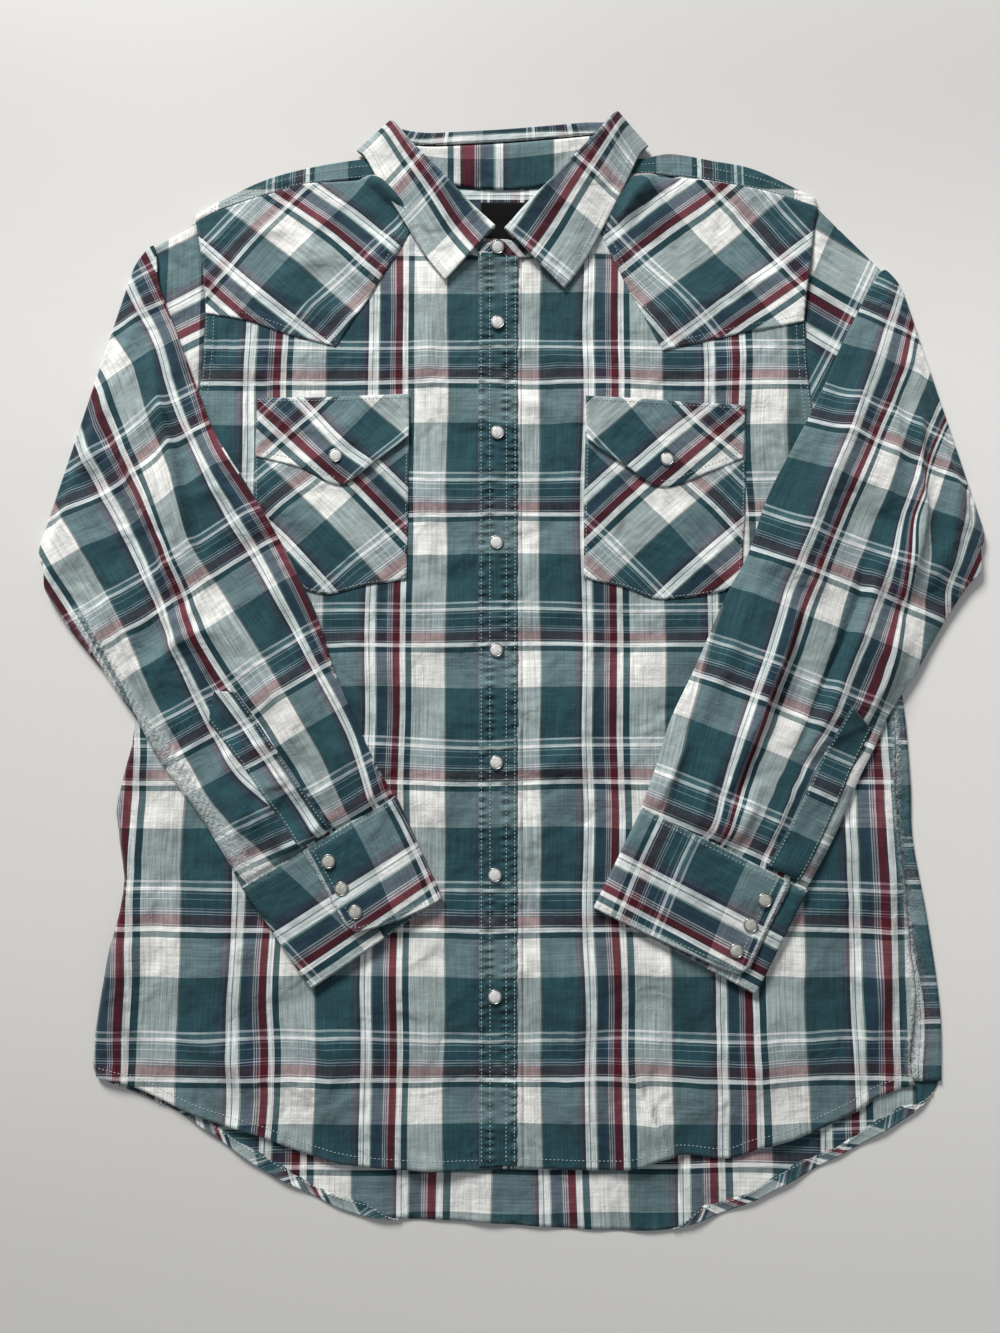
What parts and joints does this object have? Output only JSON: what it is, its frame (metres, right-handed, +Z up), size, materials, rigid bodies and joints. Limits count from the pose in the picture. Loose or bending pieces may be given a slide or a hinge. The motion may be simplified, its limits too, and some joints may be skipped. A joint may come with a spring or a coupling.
{
  "type": "western snap shirt",
  "caption": "Long-sleeved plaid western shirt with pearl snaps and pointed yokes, laid flat on its back with the sleeves folded over the front.",
  "frame": {"origin": "middle of the laid-out shirt's outline, on the surface it lies on", "axes": "+X to the wearer's left, +Y from the hem to the collar, +Z up off the surface"},
  "size_m": [0.7686, 0.8938, 0.0175],
  "materials": {
    "plaid_cloth": "matte, woven teal, white and burgundy plaid",
    "label_cloth": "matte, plain black weave",
    "snap_pearl": "glossy pearl white",
    "snap_metal": "bright, slightly worn"
  },
  "bodies": {
    "root": {"back": "plaid_cloth", "back_yoke": "plaid_cloth", "collar": "plaid_cloth", "collar_stand": "plaid_cloth", "cuff_left": "plaid_cloth", "cuff_right": "plaid_cloth", "front_left": "plaid_cloth", "front_right": "plaid_cloth", "front_yoke_left": "plaid_cloth", "front_yoke_right": "plaid_cloth", "neck_label": "label_cloth", "placket": "plaid_cloth", "pocket_flap_left": "plaid_cloth", "pocket_flap_right": "plaid_cloth", "pocket_left": "plaid_cloth", "pocket_right": "plaid_cloth", "sleeve_left": "plaid_cloth", "sleeve_placket_left": "plaid_cloth", "sleeve_placket_right": "plaid_cloth", "sleeve_right": "plaid_cloth", "snap_cuff_left_1_pearl": "snap_pearl", "snap_cuff_left_1_rim": "snap_metal", "snap_cuff_left_2_pearl": "snap_pearl", "snap_cuff_left_2_rim": "snap_metal", "snap_cuff_left_3_pearl": "snap_pearl", "snap_cuff_left_3_rim": "snap_metal", "snap_cuff_right_1_pearl": "snap_pearl", "snap_cuff_right_1_rim": "snap_metal", "snap_cuff_right_2_pearl": "snap_pearl", "snap_cuff_right_2_rim": "snap_metal", "snap_cuff_right_3_pearl": "snap_pearl", "snap_cuff_right_3_rim": "snap_metal", "snap_flap_left_pearl": "snap_pearl", "snap_flap_left_rim": "snap_metal", "snap_flap_right_pearl": "snap_pearl", "snap_flap_right_rim": "snap_metal", "snap_front_1_pearl": "snap_pearl", "snap_front_1_rim": "snap_metal", "snap_front_2_pearl": "snap_pearl", "snap_front_2_rim": "snap_metal", "snap_front_3_pearl": "snap_pearl", "snap_front_3_rim": "snap_metal", "snap_front_4_pearl": "snap_pearl", "snap_front_4_rim": "snap_metal", "snap_front_5_pearl": "snap_pearl", "snap_front_5_rim": "snap_metal", "snap_front_6_pearl": "snap_pearl", "snap_front_6_rim": "snap_metal", "snap_front_7_pearl": "snap_pearl", "snap_front_7_rim": "snap_metal", "snap_neck_pearl": "snap_pearl", "snap_neck_rim": "snap_metal"}
  },
  "joints": []
}
